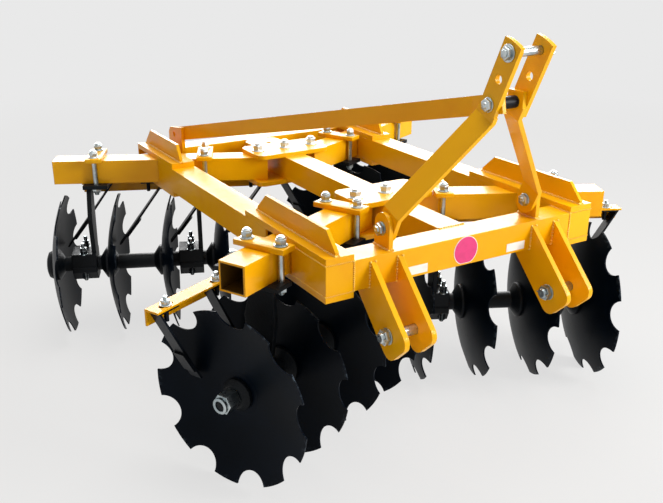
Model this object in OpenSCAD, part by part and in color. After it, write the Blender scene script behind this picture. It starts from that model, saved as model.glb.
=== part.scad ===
// Mounted disc harrow: welded square-tube frame with a three-point hitch,
// four angled gangs of notched discs, two in front and two behind.
// X points to the right seen from the tractor end, the tractor is on the -Y side.

/* [Discs] */
// Diameter of each disc
disc_d = 460; // [420:5:500]
// Thickness of the disc plate
disc_t = 4; // [3:0.5:6]
// Radius of the ball that the dish follows
dish_r = 620; // [560:10:700]
// Diameter of the flat centre of a disc
flat_d = 116; // [110:2:140]
// Number of notches round a disc
notch_n = 9; // [8:1:10]
// Radius of the tool that cuts a notch
notch_r = 44; // [34:1:48]
// How far the notch tool's centre lies outside the rim
notch_out = 6; // [2:1:12]
// Turn of all the gangs at rest, in degrees
tooth_turn = 0; // [-2:1:2]
// Distance from disc to disc along a gang
disc_pitch = 176; // [172:1:190]
// Discs on each gang
disc_n = 4; // [4:1:4]

/* [Shafts] */
// Diameter of a gang shaft
shaft_d = 30; // [26:1:34]
// Diameter of a spool and of its bearing journal
spool_d = 50; // [46:1:54]
// Diameter of a spool's flange
spool_flange_d = 104; // [90:1:108]
// Thickness of a spool's flange at its edge
spool_flange_t = 8; // [5:1:10]
// Length of the taper behind a flange
spool_taper = 18; // [12:1:22]
// Diameter of the bumper on the round side of a gang
bumper_d = 94; // [88:1:104]
// Length of the bumper
bumper_l = 26; // [22:1:34]
// Width across the flats of the gang nuts
gang_nut_af = 46; // [40:1:50]
// Thickness of the gang nuts
gang_nut_t = 28; // [20:1:32]
// Thickness of the gang washer
gang_washer_t = 22; // [12:1:26]
// Diameter of the gang washer
gang_washer_d = 84; // [70:1:96]
// Thread that stands out of a gang nut
thread_out = 24; // [10:1:28]
// Running clearance of a journal in its bearing, at the radius
run_c = 0.06; // [0.03:0.01:0.09]
// Clearance of a bolt or shaft in its hole, at the radius
hole_c = 0.3; // [0.2:0.1:0.5]

/* [Frame] */
// Side of the square tubes
tube = 75; // [70:1:80]
// Wall of the square tubes
wall = 6; // [4:0.5:8]
// Height of the top of the tubes
tube_top = 582; // [576:1:600]
// Overall width of the frame
frame_w = 824; // [800:2:850]
// Front face of the rear crossbeam
rear_y = 1172; // [1150:1:1200]
// Thickness of the corner plates
corner_t = 16; // [12:1:18]
// Length of the front corner plates
front_plate_l = 410; // [390:1:430]
// Length of the rear corner plates
rear_plate_l = 318; // [300:1:330]
// Length of the front stub tubes
stub_l = 160; // [150:1:163]
// Front end of the side beams
side_y0 = 292; // [290:1:300]
// Height of the ribs on the corner plates
rib_h = 52; // [40:1:60]
// Thickness of the ribs
rib_t = 10; // [8:1:12]
// Distance of a rib from the outer edge of its plate
rib_in = 28; // [20:1:32]
// Distance of a gang pivot bolt from the middle
pivot_x = 100; // [96:1:112]
// Front pivot bolts behind the front face
pivot_front_y = 366; // [360:1:375]
// Rear pivot bolts behind the front face
pivot_rear_y = 960; // [950:1:970]
// Angle of the front gang beams in degrees
gang_a_front = 26.5; // [25:0.5:28]
// Angle of the rear gang beams in degrees
gang_a_rear = 25.5; // [24:0.5:27]
// Front discs straighter than their beam, in degrees
skew_front = 1; // [0:0.5:1.5]
// Rear discs straighter than their beam, in degrees
skew_rear = 3; // [1:0.5:3.5]
// Thickness of the centre plates
centre_t = 14; // [10:1:16]
// Length of the centre plates across the machine
centre_l = 264; // [250:2:268]
// Width of the centre plates along the machine
centre_w = 148; // [140:2:150]
// Corner radius of the centre plates
centre_r = 26; // [15:1:35]
// Diameter of the pivot bolts
pivot_d = 20; // [16:1:22]

/* [Gang beams and hangers] */
// Front gang beam from its pivot to its outer end
beam_front_l = 540; // [530:1:560]
// Rear gang beam from its pivot to its outer end
beam_rear_l = 662; // [650:1:680]
// Gang beam past its pivot
beam_in = 30; // [28:1:34]
// Rim of the outer disc from the pivot, front gangs
rim_front = 557; // [552:1:565]
// Rim of the inner disc from the pivot, rear gangs
rim_rear = 114; // [110:1:120]
// Gang shaft behind the beam's middle, front gangs
row_front = 10; // [0:1:16]
// Gang shaft before the beam's middle, rear gangs
row_rear = 27; // [22:1:32]
// Clamp plate length across the beam
clamp_l = 146; // [140:1:156]
// Clamp plate width along the beam
clamp_w = 50; // [44:1:54]
// Clamp plate thickness
clamp_t = 14; // [10:1:16]
// Diameter of the clamp bolts
clamp_bolt_d = 16; // [14:1:18]
// Clearance between a clamp bolt and the side of the beam
clamp_gap = 4; // [3:0.5:6]
// Thickness of a hanger's top flange
hanger_flange_t = 12; // [10:1:14]
// Thickness of a hanger's arm
arm_t = 14; // [12:1:16]
// Length of a bearing housing
housing_l = 80; // [74:1:84]
// Height of a bearing housing
housing_h = 92; // [86:1:98]
// Width of a bearing housing
housing_w = 90; // [84:1:96]

/* [Scrapers] */
// Leg of the angle irons that carry the scrapers
bar_w = 42; // [36:1:44]
// Thickness of the angle irons
bar_t = 5; // [4:0.5:6]
// Packing between a hanger and its angle iron
bar_pack = 16; // [16:1:20]
// Back of a front angle iron from the beam's middle
bar_back_front = 148; // [146:1:154]
// Back of a rear angle iron from the beam's middle
bar_back_rear = 118; // [114:1:122]
// Width of a scraper
blade_w = 34; // [28:1:34]
// Thickness of a scraper arm and of its blade
blade_t = 5; // [4:0.5:6]
// Distance between a blade and the hollow side of its disc
blade_gap = 7; // [6:1:12]
// Foot of a front scraper arm from the rim of its disc
foot_front = 106; // [100:1:112]
// Foot of a rear scraper arm from the rim of its disc
foot_rear = 152; // [146:1:156]
// Height of a blade's end above the shaft
blade_end = 22; // [14:1:30]

/* [Hitch] */
// Thickness of the lower hitch plates
clevis_t = 14; // [12:1:16]
// Space between the two plates of a lower hitch
clevis_gap = 62; // [50:1:70]
// Middle of a lower hitch from the middle of the machine
clevis_x = 248; // [240:1:256]
// Diameter of the lower hitch pins
lower_pin_d = 25; // [22:1:28]
// Height of the lower hitch pins
lower_pin_z = 415; // [400:1:420]
// Lower hitch pins ahead of the front face
lower_pin_y = 78; // [70:1:84]
// Width of a lower hitch plate
clevis_w = 99; // [92:1:104]
// Lean of the lower hitch plates from level
clevis_lean = 45.1; // [43:0.1:48]
// Lower hitch pin from the front edge of its plate
clevis_front = 55; // [50:1:60]
// Lower hitch pin from the lower end of its plate
clevis_end = 53; // [48:1:58]
// Corner radius of a lower hitch plate
clevis_r = 27; // [20:1:30]
// Thickness of the mast bars
mast_t = 12; // [10:1:14]
// Width of the mast bars
mast_w = 60; // [54:1:66]
// Space between the two mast ears
ear_gap = 76.5; // [74:0.5:84]
// Height of the mast foot bolts
foot_z = 628; // [622:1:640]
// Mast foot bolts behind the front face
foot_y = 42; // [36:1:48]
// Inner side of the mast lugs from the middle
lug_x = 223; // [218:1:232]
// Height of the mast joint bolt
joint_z = 919; // [905:1:930]
// Height of the top link pin
top_pin_z = 1035; // [1025:1:1050]
// Lean of the mast, in degrees
mast_lean = 23.3; // [21:0.1:24]
// Radius of the mast ears' round tops
ear_top_r = 153; // [145:1:160]
// Diameter of the top link pin
top_pin_d = 20; // [18:1:24]
// Diameter of the spare top link hole
spare_d = 20; // [18:1:24]
// Distance between the top pin and the spare hole
spare_step = 63; // [56:1:66]
// Diameter of the mast bolts
mast_bolt_d = 18; // [16:1:20]
// Width of the tie bar
tie_w = 45; // [40:1:50]
// Thickness of the tie bar
tie_t = 10; // [8:1:12]

/* [Hidden] */
$fn = 64;
eps = 0.01;
disc_r = disc_d / 2;
flat_r = flat_d / 2;
tube_z = tube_top - tube;
half = frame_w / 2;
inner = half - tube;
shaft_z = disc_r;
// middle of the whole machine behind the front face of the front crossbeam
mid_y = 627;
// hollow-side rim plane to round-side flat of a disc
dish = sqrt(dish_r * dish_r - flat_r * flat_r)
     - sqrt((dish_r - disc_t) * (dish_r - disc_t) - disc_r * disc_r);
dish_c = dish - sqrt(dish_r * dish_r - flat_r * flat_r);
// bolt heads and nuts
pivot_nut_af = 1.5 * pivot_d;
clamp_nut_af = 1.5 * clamp_bolt_d;
mast_nut_af = 1.5 * mast_bolt_d;
clamp_bolt_v = tube / 2 + clamp_gap + clamp_bolt_d / 2;
// mast points in the side view, y behind the front face
lean_y = tan(mast_lean);
joint_y = foot_y - (joint_z - foot_z) * lean_y;
top_pin_y = foot_y - (top_pin_z - foot_z) * lean_y;
ear_x = ear_gap / 2;
bend_z = joint_z - 29;
tie_lug_x = 300;
tie_lug_z = 628;
tie_lug_y = 1196;
// turn of each disc on its shaft, from the hollow end
turns = [[4.5, 9, 20, -4], [0, 17, -7.5, 4], [-3, 9, 5.5, -4], [3, -6, 12, -5]];
// gangs: [side, rear?]
FL = [-1, 0];
FR = [1, 0];
RL = [-1, 1];
RR = [1, 1];
// middle of the first gap between discs, from the rim of the first disc
brg_mid = (dish + disc_pitch + dish - disc_t) / 2;

// ---- helpers ----------------------------------------------------------
// puts the origin under the middle of the machine
module place() translate([0, -mid_y, 0]) children();
// frame of one gang: X inward along its beam, Y to the rear, origin at the pivot
module at_gang(g) {
  if (g[0] > 0) mirror([1, 0, 0]) at_left(g[1]) children();
  else at_left(g[1]) children();
}
module at_left(rear) {
  if (rear == 1) translate([-pivot_x, pivot_rear_y, 0]) rotate([0, 0, -gang_a_rear]) children();
  else translate([-pivot_x, pivot_front_y, 0]) rotate([0, 0, gang_a_front]) children();
}
// frame of one gang's discs: like at_gang, turned about the middle of the gang
module at_row(g) {
  m = g[1] == 1 ? -rim_rear - 1.5 * disc_pitch : -rim_front + 1.5 * disc_pitch;
  at_gang(g) translate([m, 0, 0]) rotate([0, 0, g[1] == 1 ? skew_rear : -skew_front])
    translate([-m, 0, 0]) children();
}
// frame of one gang's shaft: X from the hollow end to the round end of the discs
module at_shaft(g) {
  at_row(g)
    if (g[1] == 1) translate([-rim_rear, -row_rear, shaft_z]) mirror([1, 0, 0]) children();
    else translate([-rim_front, row_front, shaft_z]) children();
}
module hex(af, h) cylinder(r = af / sqrt(3), h = h, $fn = 6);
module tube_x(l) {
  difference() {
    cube([l, tube, tube]);
    translate([-eps, wall, wall]) cube([l + 2 * eps, tube - 2 * wall, tube - 2 * wall]);
  }
}
module tube_y(l) {
  difference() {
    cube([tube, l, tube]);
    translate([wall, -eps, wall]) cube([tube - 2 * wall, l + 2 * eps, tube - 2 * wall]);
  }
}
// outline in the YZ plane, given as [y, z], made thick along X
module yz(t) rotate([90, 0, 90]) linear_extrude(height = t) children();
module rounded(l, w, r) {
  translate([r, 0]) square([l - 2 * r, w]);
  translate([0, r]) square([l, w - 2 * r]);
  for (x = [r, l - r], y = [r, w - r]) translate([x, y]) circle(r = r);
}

// ---- frame ------------------------------------------------------------
module mast_lug() {
  // lug with a round top, standing on the front crossbeam
  yz(mast_t) difference() {
    union() {
      translate([foot_y - mast_w / 2, tube_top]) square([mast_w, foot_z - tube_top + 8]);
      translate([foot_y, foot_z + 8]) circle(r = mast_w / 2);
    }
    translate([foot_y, foot_z]) circle(r = mast_bolt_d / 2 + hole_c);
  }
}
module front_crossbeam() {
  color("goldenrod") place() {
    translate([-inner, 0, tube_z]) tube_x(2 * inner);
    translate([-lug_x - mast_t, 0, 0]) mast_lug();
    translate([lug_x, 0, 0]) mast_lug();
  }
}
module rear_crossbeam() {
  color("goldenrod") place() {
    translate([-half + 42, rear_y, tube_z]) tube_x(2 * (half - 42));
    // lug that holds the rear end of the tie bar
    translate([-tie_lug_x, 0, 0]) yz(mast_t) difference() {
      polygon([[rear_y - 42, tube_top - 22], [rear_y, tube_top - 22], [rear_y, tube_top],
        [rear_y + tube, tube_top], [rear_y + tube, tube_top + 46],
        [rear_y + tube - 14, tube_top + 64], [rear_y - 42, tube_top + 80]]);
      translate([tie_lug_y, tie_lug_z]) circle(r = mast_bolt_d / 2 + hole_c);
    }
  }
}
// side beam; its rear end is cut along the rear gang beam
module side_beam() {
  end_y = pivot_rear_y + (inner - pivot_x) * tan(gang_a_rear) + tube;
  difference() {
    translate([-half, side_y0, tube_z]) tube_y(end_y - side_y0);
    at_left(1) translate([-beam_rear_l, -tube / 2 - 3, tube_z - 1]) cube([beam_rear_l, 400, tube + 2]);
  }
}
module left_side_beam() color("darkgoldenrod") place() side_beam();
module right_side_beam() color("darkgoldenrod") place() mirror([1, 0, 0]) side_beam();
module centre_beam() {
  color("darkgoldenrod") place() difference() {
    translate([-tube / 2, tube, tube_z]) tube_y(rear_y - tube);
    for (y = [pivot_front_y, pivot_rear_y])
      translate([0, y, tube_z - 1]) cylinder(r = pivot_d / 2 + hole_c, h = tube + 2);
  }
}
// plate with a rib, y from a to b; rib from c to d with slanted ends
module corner_plate(a, b, up) {
  translate([-half, a, up ? tube_top : tube_z - corner_t]) cube([tube, b - a, corner_t]);
}
module corner_rib(c, d, s0, s1) {
  translate([-half + rib_in, 0, 0]) yz(rib_t) polygon([[c, tube_top + corner_t],
    [d, tube_top + corner_t], [d, tube_top + corner_t + 9], [d - s1, tube_top + corner_t + rib_h],
    [c + s0, tube_top + corner_t + rib_h], [c, tube_top + corner_t + 9]]);
}
module front_corner() {
  corner_plate(0, front_plate_l, true);
  corner_plate(0, front_plate_l, false);
  difference() {
    translate([-half, 0, tube_z]) cube([tube, stub_l, tube]);
    translate([-half + wall, wall, tube_z + wall])
      cube([tube - 2 * wall, stub_l, tube - 2 * wall]);
  }
  corner_rib(6, front_plate_l - 16, 42, 48);
}
module rear_corner() {
  y1 = rear_y + tube + 6;
  corner_plate(y1 - rear_plate_l, y1, true);
  corner_plate(y1 - rear_plate_l, y1, false);
  // lip down behind the rear crossbeam
  translate([-half, rear_y + tube, tube_top - 22]) cube([tube, 6, 23]);
  corner_rib(y1 - rear_plate_l + 2, y1 - 10, 26, 46);
}
module corner_front_left() color("orange") place() front_corner();
module corner_front_right() color("orange") place() mirror([1, 0, 0]) front_corner();
module corner_rear_left() color("orange") place() rear_corner();
module corner_rear_right() color("orange") place() mirror([1, 0, 0]) rear_corner();

// a pair of centre plates, held by three bolts
module centre_plates(y, w0, w1, l, lobe) {
  translate([0, y, tube_z - centre_t]) linear_extrude(height = centre_t)
    translate([-l / 2, -w0]) rounded(l, w0 + w1, centre_r);
  translate([0, y, tube_top]) linear_extrude(height = centre_t) difference() {
    union() {
      translate([-l / 2, -w0]) rounded(l, w0 + w1, centre_r);
      if (lobe > 0) translate([-84, 0]) rounded(120, lobe, 30);
    }
    if (lobe > 0) translate([-21, lobe - 70]) circle(r = 9);
  }
  for (x = [-pivot_x, 0, pivot_x]) translate([x, y, 0]) {
    translate([0, 0, tube_z - centre_t - 13]) hex(pivot_nut_af, 13 + eps);
    translate([0, 0, tube_z - 1]) cylinder(r = pivot_d / 2, h = tube + 2);
    translate([0, 0, tube_top + centre_t - eps]) cylinder(r = pivot_nut_af * 0.72, h = 3 + eps);
    translate([0, 0, tube_top + centre_t + 3 - eps]) hex(pivot_nut_af, 16 + eps);
    translate([0, 0, tube_top + centre_t + 19 - eps]) cylinder(r = pivot_d / 2, h = 6 + eps);
  }
}
module front_centre_plates() color("orange") place()
  centre_plates(pivot_front_y, centre_w * 0.45, centre_w * 0.55, centre_l - 10, 0);
module rear_centre_plates() color("orange") place()
  centre_plates(pivot_rear_y, centre_w * 0.5, centre_w * 0.5, centre_l, 150);

// ---- gang beams and hangers --------------------------------------------
module gang_beam(g) {
  l = g[1] == 1 ? beam_rear_l : beam_front_l;
  at_gang(g) difference() {
    translate([-l, -tube / 2, tube_z]) tube_x(l + beam_in);
    translate([0, 0, tube_z - 1]) cylinder(r = pivot_d / 2 + hole_c, h = tube + 2);
  }
}
module gang_beam_front_left() color("khaki") place() gang_beam(FL);
module gang_beam_front_right() color("khaki") place() gang_beam(FR);
module gang_beam_rear_left() color("khaki") place() gang_beam(RL);
module gang_beam_rear_right() color("khaki") place() gang_beam(RR);

// clamp plates with their bolts
module clamp_bolt(v) translate([0, v, 0]) {
  translate([0, 0, tube_z - hanger_flange_t - 22]) cylinder(r = clamp_bolt_d / 2, h = tube + hanger_flange_t + 24);
  translate([0, 0, tube_z - hanger_flange_t - 14]) hex(clamp_nut_af, 14);
  translate([0, 0, tube_top + clamp_t - eps]) cylinder(r = clamp_nut_af * 0.72, h = 3 + eps);
  translate([0, 0, tube_top + clamp_t + 3 - eps]) hex(clamp_nut_af, 13 + eps);
  translate([0, 0, tube_top + clamp_t + 16 - eps]) cylinder(r = clamp_bolt_d / 2, h = 9 + eps);
}
// places of hanger n along the beam: 0 is the one nearer the first disc
function brg_u(g, n) = g[1] == 1 ? -rim_rear - brg_mid - n * 2 * disc_pitch + 8
                                 : -rim_front + brg_mid + n * 2 * disc_pitch;
function clamp_u(g, n) = brg_u(g, n) + (g[1] == 1 ? 63 : 7 - 7 * n);
function arm_u(g, n) = brg_u(g, n) + (g[1] == 1 ? housing_l / 2 - arm_t / 2 : 4);
function row(g) = g[1] == 1 ? -row_rear : row_front;
function back(g) = g[1] == 1 ? bar_back_rear : bar_back_front;
module clamps(g) at_gang(g) for (n = [0, 1]) translate([clamp_u(g, n), 0, 0]) {
  translate([-clamp_w / 2, -clamp_l / 2, tube_top]) cube([clamp_w, clamp_l, clamp_t]);
  for (v = [-clamp_bolt_v, clamp_bolt_v]) clamp_bolt(v);
}
module clamps_front_left() color("silver") place() clamps(FL);
module clamps_front_right() color("silver") place() clamps(FR);
module clamps_rear_left() color("silver") place() clamps(RL);
module clamps_rear_right() color("silver") place() clamps(RR);

// top flange, arm and split bearing housing of each hanger
module hangers(g) for (n = [0, 1]) {
  u = brg_u(g, n);
  c = clamp_u(g, n);
  r = row(g);
  zf = tube_z - hanger_flange_t;
  f0 = c - (g[1] == 1 ? 41 : 47);
  f1 = c + (g[1] == 1 ? 37 : 16);
  t0 = g[1] == 1 ? c - 4 : u - 6;
  t1 = g[1] == 1 ? c + 37 : u + 22;
  difference() {
    union() {
      at_gang(g) translate([f0, -clamp_l / 2 + 4, zf]) cube([f1 - f0, clamp_l - 8, hanger_flange_t]);
      // tab and packing over the angle iron
      at_row(g) translate([t0, 0, zf]) cube([t1 - t0, back(g) - 2, hanger_flange_t]);
      at_row(g) translate([t0, back(g) - bar_w + 4, zf - bar_pack])
        cube([t1 - t0, bar_w - 10, bar_pack + 1]);
    }
    at_gang(g) for (v = [-clamp_bolt_v, clamp_bolt_v]) translate([c, v, tube_z - 50])
      cylinder(r = clamp_bolt_d / 2 + hole_c, h = 100);
  }
  at_row(g) difference() {
    union() {
      translate([arm_u(g, n) - arm_t / 2, 0, 0]) yz(arm_t) polygon([
        [-30, zf + 1], [30, zf + 1],
        [r + 46, tube_z - 110], [r + 34, shaft_z + housing_h / 2 + 20], [r + 34, shaft_z + 10],
        [r - 34, shaft_z + 10], [r - 34, shaft_z + housing_h / 2 + 20], [r - 46, tube_z - 110]]);
      translate([u - housing_l / 2, r - housing_w / 2 + 3, shaft_z - 1])
        cube([housing_l, housing_w - 6, housing_h / 2 + 1]);
      // cap under the shaft
      translate([u - housing_l / 2, r, shaft_z]) yz(housing_l) polygon([
        [-housing_w / 2 - 2, 0], [-housing_w / 2 - 2, -16], [-26, -housing_h / 2],
        [26, -housing_h / 2], [housing_w / 2 + 2, -16], [housing_w / 2 + 2, 0]]);
      // bolts through the two halves
      for (v = [-36, 36]) translate([u - (g[1] == 1 ? 0 : 21), r + v, shaft_z]) {
        translate([0, 0, -housing_h / 2]) cylinder(r = 6, h = housing_h + 38);
        translate([0, 0, -housing_h / 2 + 6]) hex(19, 24);
        translate([0, 0, housing_h / 2 - 1]) hex(19, 14);
      }
    }
    translate([u - housing_l, r, shaft_z]) rotate([0, 90, 0])
      cylinder(r = spool_d / 2 + run_c, h = 2 * housing_l);
  }
}
module hangers_front_left() color("dimgray") place() hangers(FL);
module hangers_front_right() color("dimgray") place() hangers(FR);
module hangers_rear_left() color("dimgray") place() hangers(RL);
module hangers_rear_right() color("dimgray") place() hangers(RR);

// ---- scrapers ------------------------------------------------------------
// angle iron behind the beam, from a to b along the discs
function bar_v(g) = back(g) - row(g);
function bar_h() = tube_z - hanger_flange_t - bar_pack - shaft_z;
// foot of an arm and its bolt, from the rim of the disc
function foot_x(g) = g[1] == 1 ? foot_rear : foot_front;
function foot_l(g) = g[1] == 1 ? 84 : 66;
function bolt_u(g) = -foot_x(g) + (g[1] == 1 ? 60 : 38);
module scraper_bar(g, a, b) at_shaft(g) difference() {
  translate([a, bar_v(g) - bar_w, bar_h() - bar_w]) difference() {
    cube([b - a, bar_w, bar_w]);
    translate([-1, -1, -1]) cube([b - a + 2, bar_w + 1 - bar_t, bar_w + 1 - bar_t]);
  }
  // slots for the scraper bolts
  for (i = [0:disc_n - 1]) translate([i * disc_pitch + bolt_u(g), bar_v(g) - bar_w / 2 - 3, bar_h() - bar_w])
    for (q = [-1, 1]) translate([q * 14, 0, 0]) cylinder(r = 6.5, h = 2 * bar_w);
  for (i = [0:disc_n - 1]) translate([i * disc_pitch + bolt_u(g) - 14, bar_v(g) - bar_w / 2 - 9.5, bar_h() - bar_w])
    cube([28, 13, 2 * bar_w]);
}
module scraper_bar_front_left() color("gold") place() scraper_bar(FL, -foot_front - 6, 3 * disc_pitch - 16);
module scraper_bar_front_right() color("gold") place() scraper_bar(FR, -foot_front - 6, 3 * disc_pitch - 16);
module scraper_bar_rear_left() color("gold") place() scraper_bar(RL, -foot_rear + 14, 3 * disc_pitch - 50);
module scraper_bar_rear_right() color("gold") place() scraper_bar(RR, -foot_rear + 14, 3 * disc_pitch - 50);

// bent arm and blade for each disc, with its bolt
module scrapers(g) {
  v = bar_v(g) - bar_t - 1 - blade_w;
  zt = bar_h() - bar_t;
  re = sqrt((v + blade_w) * (v + blade_w) + blade_end * blade_end);
  xe = dish_c + sqrt((dish_r - disc_t) * (dish_r - disc_t) - re * re) - blade_gap;
  f = foot_x(g);
  a = atan2(xe + f, zt - blade_end);
  w = blade_t / cos(a);
  at_shaft(g) for (i = [0:disc_n - 1]) translate([i * disc_pitch, 0, 0]) {
    translate([0, v, 0]) xzf(blade_w) polygon([[-f + foot_l(g), zt], [-f, zt],
      [xe - w - (zt * 0.45 - blade_end) * tan(a), zt * 0.45],
      [xe - 2 * w - (zt * 0.45 - blade_end) * tan(a), zt * 0.45],
      [xe - 2 * w - (zt * 0.2 - blade_end) * tan(a), zt * 0.2],
      [xe - w - (zt * 0.2 - blade_end) * tan(a), zt * 0.2],
      [xe - w, blade_end], [xe, blade_end], [-f + w + blade_t * tan(a), zt - blade_t],
      [-f + foot_l(g), zt - blade_t]]);
    translate([bolt_u(g), bar_v(g) - bar_w / 2 - 3, zt - blade_t - 30]) {
      cylinder(r = 6, h = 41 + bar_t + blade_t);
      translate([0, 0, 30 + bar_t + blade_t]) cylinder(r = 14, h = 2);
      translate([0, 0, 31 + bar_t + blade_t]) hex(19, 9);
    }
  }
}
// outline in the XZ plane made thick towards +Y
module xzf(t) translate([0, t, 0]) rotate([90, 0, 0]) linear_extrude(height = t) children();
module scrapers_front_left() color("slategray") place() scrapers(FL);
module scrapers_front_right() color("slategray") place() scrapers(FR);
module scrapers_rear_left() color("slategray") place() scrapers(RL);
module scrapers_rear_right() color("slategray") place() scrapers(RR);

// ---- hitch ----------------------------------------------------------------
// frame leaning with the mast: Y across its bars, Z up along them, origin at the foot bolt
module at_mast() translate([0, foot_y, foot_z]) rotate([mast_lean, 0, 0]) children();
function along_mast(z) = (z - foot_z) / cos(mast_lean);
// outline in the XZ plane, made thick along Y and centred on it
module xz(t) translate([0, t / 2, 0]) rotate([90, 0, 0]) linear_extrude(height = t) children();
// leg from its foot at x0 to an upright end whose outer side is at x1
module mast_leg(x0, x1, t1, b, top) {
  xz(mast_w) polygon([[-x0, -6], [-x0, 44], [-x1, b + 2], [-x1, top],
    [-x1 + t1, top], [-x1 + t1, b - 2], [-x0 + mast_t, 40], [-x0 + mast_t, -6]]);
  translate([-x0, 0, -6]) rotate([0, 90, 0]) cylinder(r = mast_w / 2, h = mast_t);
}
module mast_ear(z0) {
  jl = along_mast(joint_z);
  intersection() {
    translate([-ear_x - mast_t, -mast_w * 0.45, z0]) cube([mast_t, mast_w * 0.9, 400]);
    translate([-ear_x - mast_t - 1, 0, jl]) rotate([0, 90, 0]) cylinder(r = ear_top_r, h = mast_t + 2, $fn = 128);
  }
}
module mast_holes() {
  jl = along_mast(joint_z);
  tl = along_mast(top_pin_z);
  for (l = [0, jl]) translate([-half, 0, l]) rotate([0, 90, 0]) cylinder(r = mast_bolt_d / 2 + hole_c, h = half);
  translate([-half, 0, tl]) rotate([0, 90, 0]) cylinder(r = top_pin_d / 2 + hole_c, h = half);
  translate([-half, 0, tl - spare_step]) rotate([0, 90, 0]) cylinder(r = spare_d / 2 + hole_c, h = half);
}
// leg and ear bent from one bar
module mast_left() color("orange") place() at_mast() difference() {
  b = along_mast(bend_z);
  union() {
    mast_leg(lug_x, ear_x + mast_t, mast_t, b, b + 14);
    mast_ear(b + 2);
  }
  mast_holes();
}
// leg with an upright head, the ear outside it
module mast_right() color("orange") place() mirror([1, 0, 0]) difference() {
  b = along_mast(bend_z);
  union() {
    at_mast() mast_leg(lug_x, ear_x - 0.8, mast_t - 1, b, b + 16);
    // the head, a hair clear of the ear
    translate([-ear_x + 0.3, 0, 0]) yz(mast_t) {
      translate([foot_y, foot_z]) rotate([0, 0, mast_lean]) translate([-mast_w / 2 - 0.5, b + 4])
        square([mast_w + 1, 26]);
      translate([joint_y - 25, bend_z + 14]) square([49, 40]);
    }
    at_mast() mast_ear(along_mast(joint_z) - 26);
  }
  at_mast() mast_holes();
}
// foot bolts, joint bolt with its spacer, top link pin
module bolt_x(x0, x1, d, af) {
  translate([x0 - 5, 0, 0]) rotate([0, 90, 0]) cylinder(r = d / 2, h = x1 - x0 + 23);
  translate([x0 - 10, 0, 0]) rotate([0, 90, 0]) hex(af, 10);
  translate([x1, 0, 0]) rotate([0, 90, 0]) hex(af, 14);
}
module mast_bolts() {
  color("silver") place() at_mast() {
    for (s = [-1, 1]) mirror([s > 0 ? 1 : 0, 0, 0])
      bolt_x(-lug_x - mast_t, -lug_x + mast_t, mast_bolt_d, mast_nut_af);
    translate([0, 0, along_mast(joint_z)]) {
      bolt_x(-ear_x - mast_t, ear_x + mast_t, mast_bolt_d, mast_nut_af);
      rotate([0, 90, 0]) translate([0, 0, -ear_x + tie_t])
        cylinder(r = 14, h = 2 * ear_x - mast_t - tie_t - 0.3);
    }
    translate([0, 0, along_mast(top_pin_z)])
      bolt_x(-ear_x - mast_t - 3, ear_x + mast_t + 3, top_pin_d, 1.5 * top_pin_d);
  }
}
module tie_bar() {
  // side view: from the mast joint down to the rear lug
  dy = tie_lug_y - joint_y;
  dz = tie_lug_z - joint_z;
  l = sqrt(dy * dy + dz * dz);
  a = -atan2(dz, dy);
  x0 = -ear_x;
  x1 = -tie_lug_x + mast_t;
  color("orange") place() translate([0, joint_y, joint_z]) rotate([-a, 0, 0]) difference() {
    linear_extrude_plan() polygon([[x0, -30], [x0 + tie_t, -30], [x0 + tie_t, 70],
      [x1 + tie_t, l - 70], [x1 + tie_t, l + 22], [x1, l + 22], [x1, l - 72], [x0, 68]]);
    for (y = [0, l]) translate([-half, y, 0]) rotate([0, 90, 0]) cylinder(r = mast_bolt_d / 2 + hole_c, h = half);
  }
}
module linear_extrude_plan() translate([0, 0, -tie_w / 2]) linear_extrude(height = tie_w) children();

// lower hitch: strips slanting down and forward, notched round the crossbeam
module hitch_plate() {
  yz(clevis_t) difference() {
    translate([-lower_pin_y, lower_pin_z]) rotate([0, 0, clevis_lean - 90])
      translate([-clevis_front, -clevis_end]) rounded(clevis_w, 320, clevis_r);
    translate([0, tube_z]) square([300, 300]);
    translate([-300, tube_top]) square([300, 300]);
    translate([-lower_pin_y, lower_pin_z]) circle(r = lower_pin_d / 2 + hole_c);
  }
}
module hitch() {
  translate([-clevis_x - clevis_gap / 2 - clevis_t, 0, 0]) hitch_plate();
  translate([-clevis_x + clevis_gap / 2, 0, 0]) hitch_plate();
}
module hitch_left() color("orange") place() hitch();
module hitch_right() color("orange") place() mirror([1, 0, 0]) hitch();
module hitch_pin(side) {
  x0 = side * clevis_x - clevis_gap / 2 - clevis_t;
  w = clevis_gap + 2 * clevis_t;
  translate([x0, -lower_pin_y, lower_pin_z]) rotate([0, 90, 0]) {
    translate([0, 0, -24]) cylinder(r = lower_pin_d / 2, h = w + 24);
    translate([0, 0, w + hole_c]) cylinder(r = lower_pin_d / 2 + 7, h = 8);
    translate([0, 0, w - 1]) cylinder(r = lower_pin_d / 2, h = 4);
  }
}
module hitch_pins() color("silver") place() { hitch_pin(-1); hitch_pin(1); }

// ---- gangs ------------------------------------------------------------------
// one notched disc: hollow side towards -X, rim plane at x = 0
module notched_disc(turn) {
  rotate([0, 90, 0]) difference() {
    intersection() {
      translate([0, 0, dish_c]) sphere(r = dish_r, $fn = 200);
      translate([0, 0, -disc_t]) cylinder(r = disc_r, h = dish + disc_t, $fn = 144);
    }
    intersection() {
      translate([0, 0, dish_c]) sphere(r = dish_r - disc_t, $fn = 200);
      translate([0, 0, -dish]) cylinder(r = disc_r + 20, h = 2 * dish - disc_t, $fn = 144);
    }
    for (i = [0:notch_n - 1]) rotate([0, 0, turn + (i + 0.5) * 360 / notch_n])
      translate([disc_r + notch_out, 0, -dish]) cylinder(r = notch_r, h = 3 * dish, $fn = 48);
    translate([0, 0, -dish]) cylinder(r = shaft_d / 2 + hole_c, h = 3 * dish);
  }
}
function turn(g, i) = tooth_turn + turns[2 * g[1] + (g[0] > 0 ? 1 : 0)][i];
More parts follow.
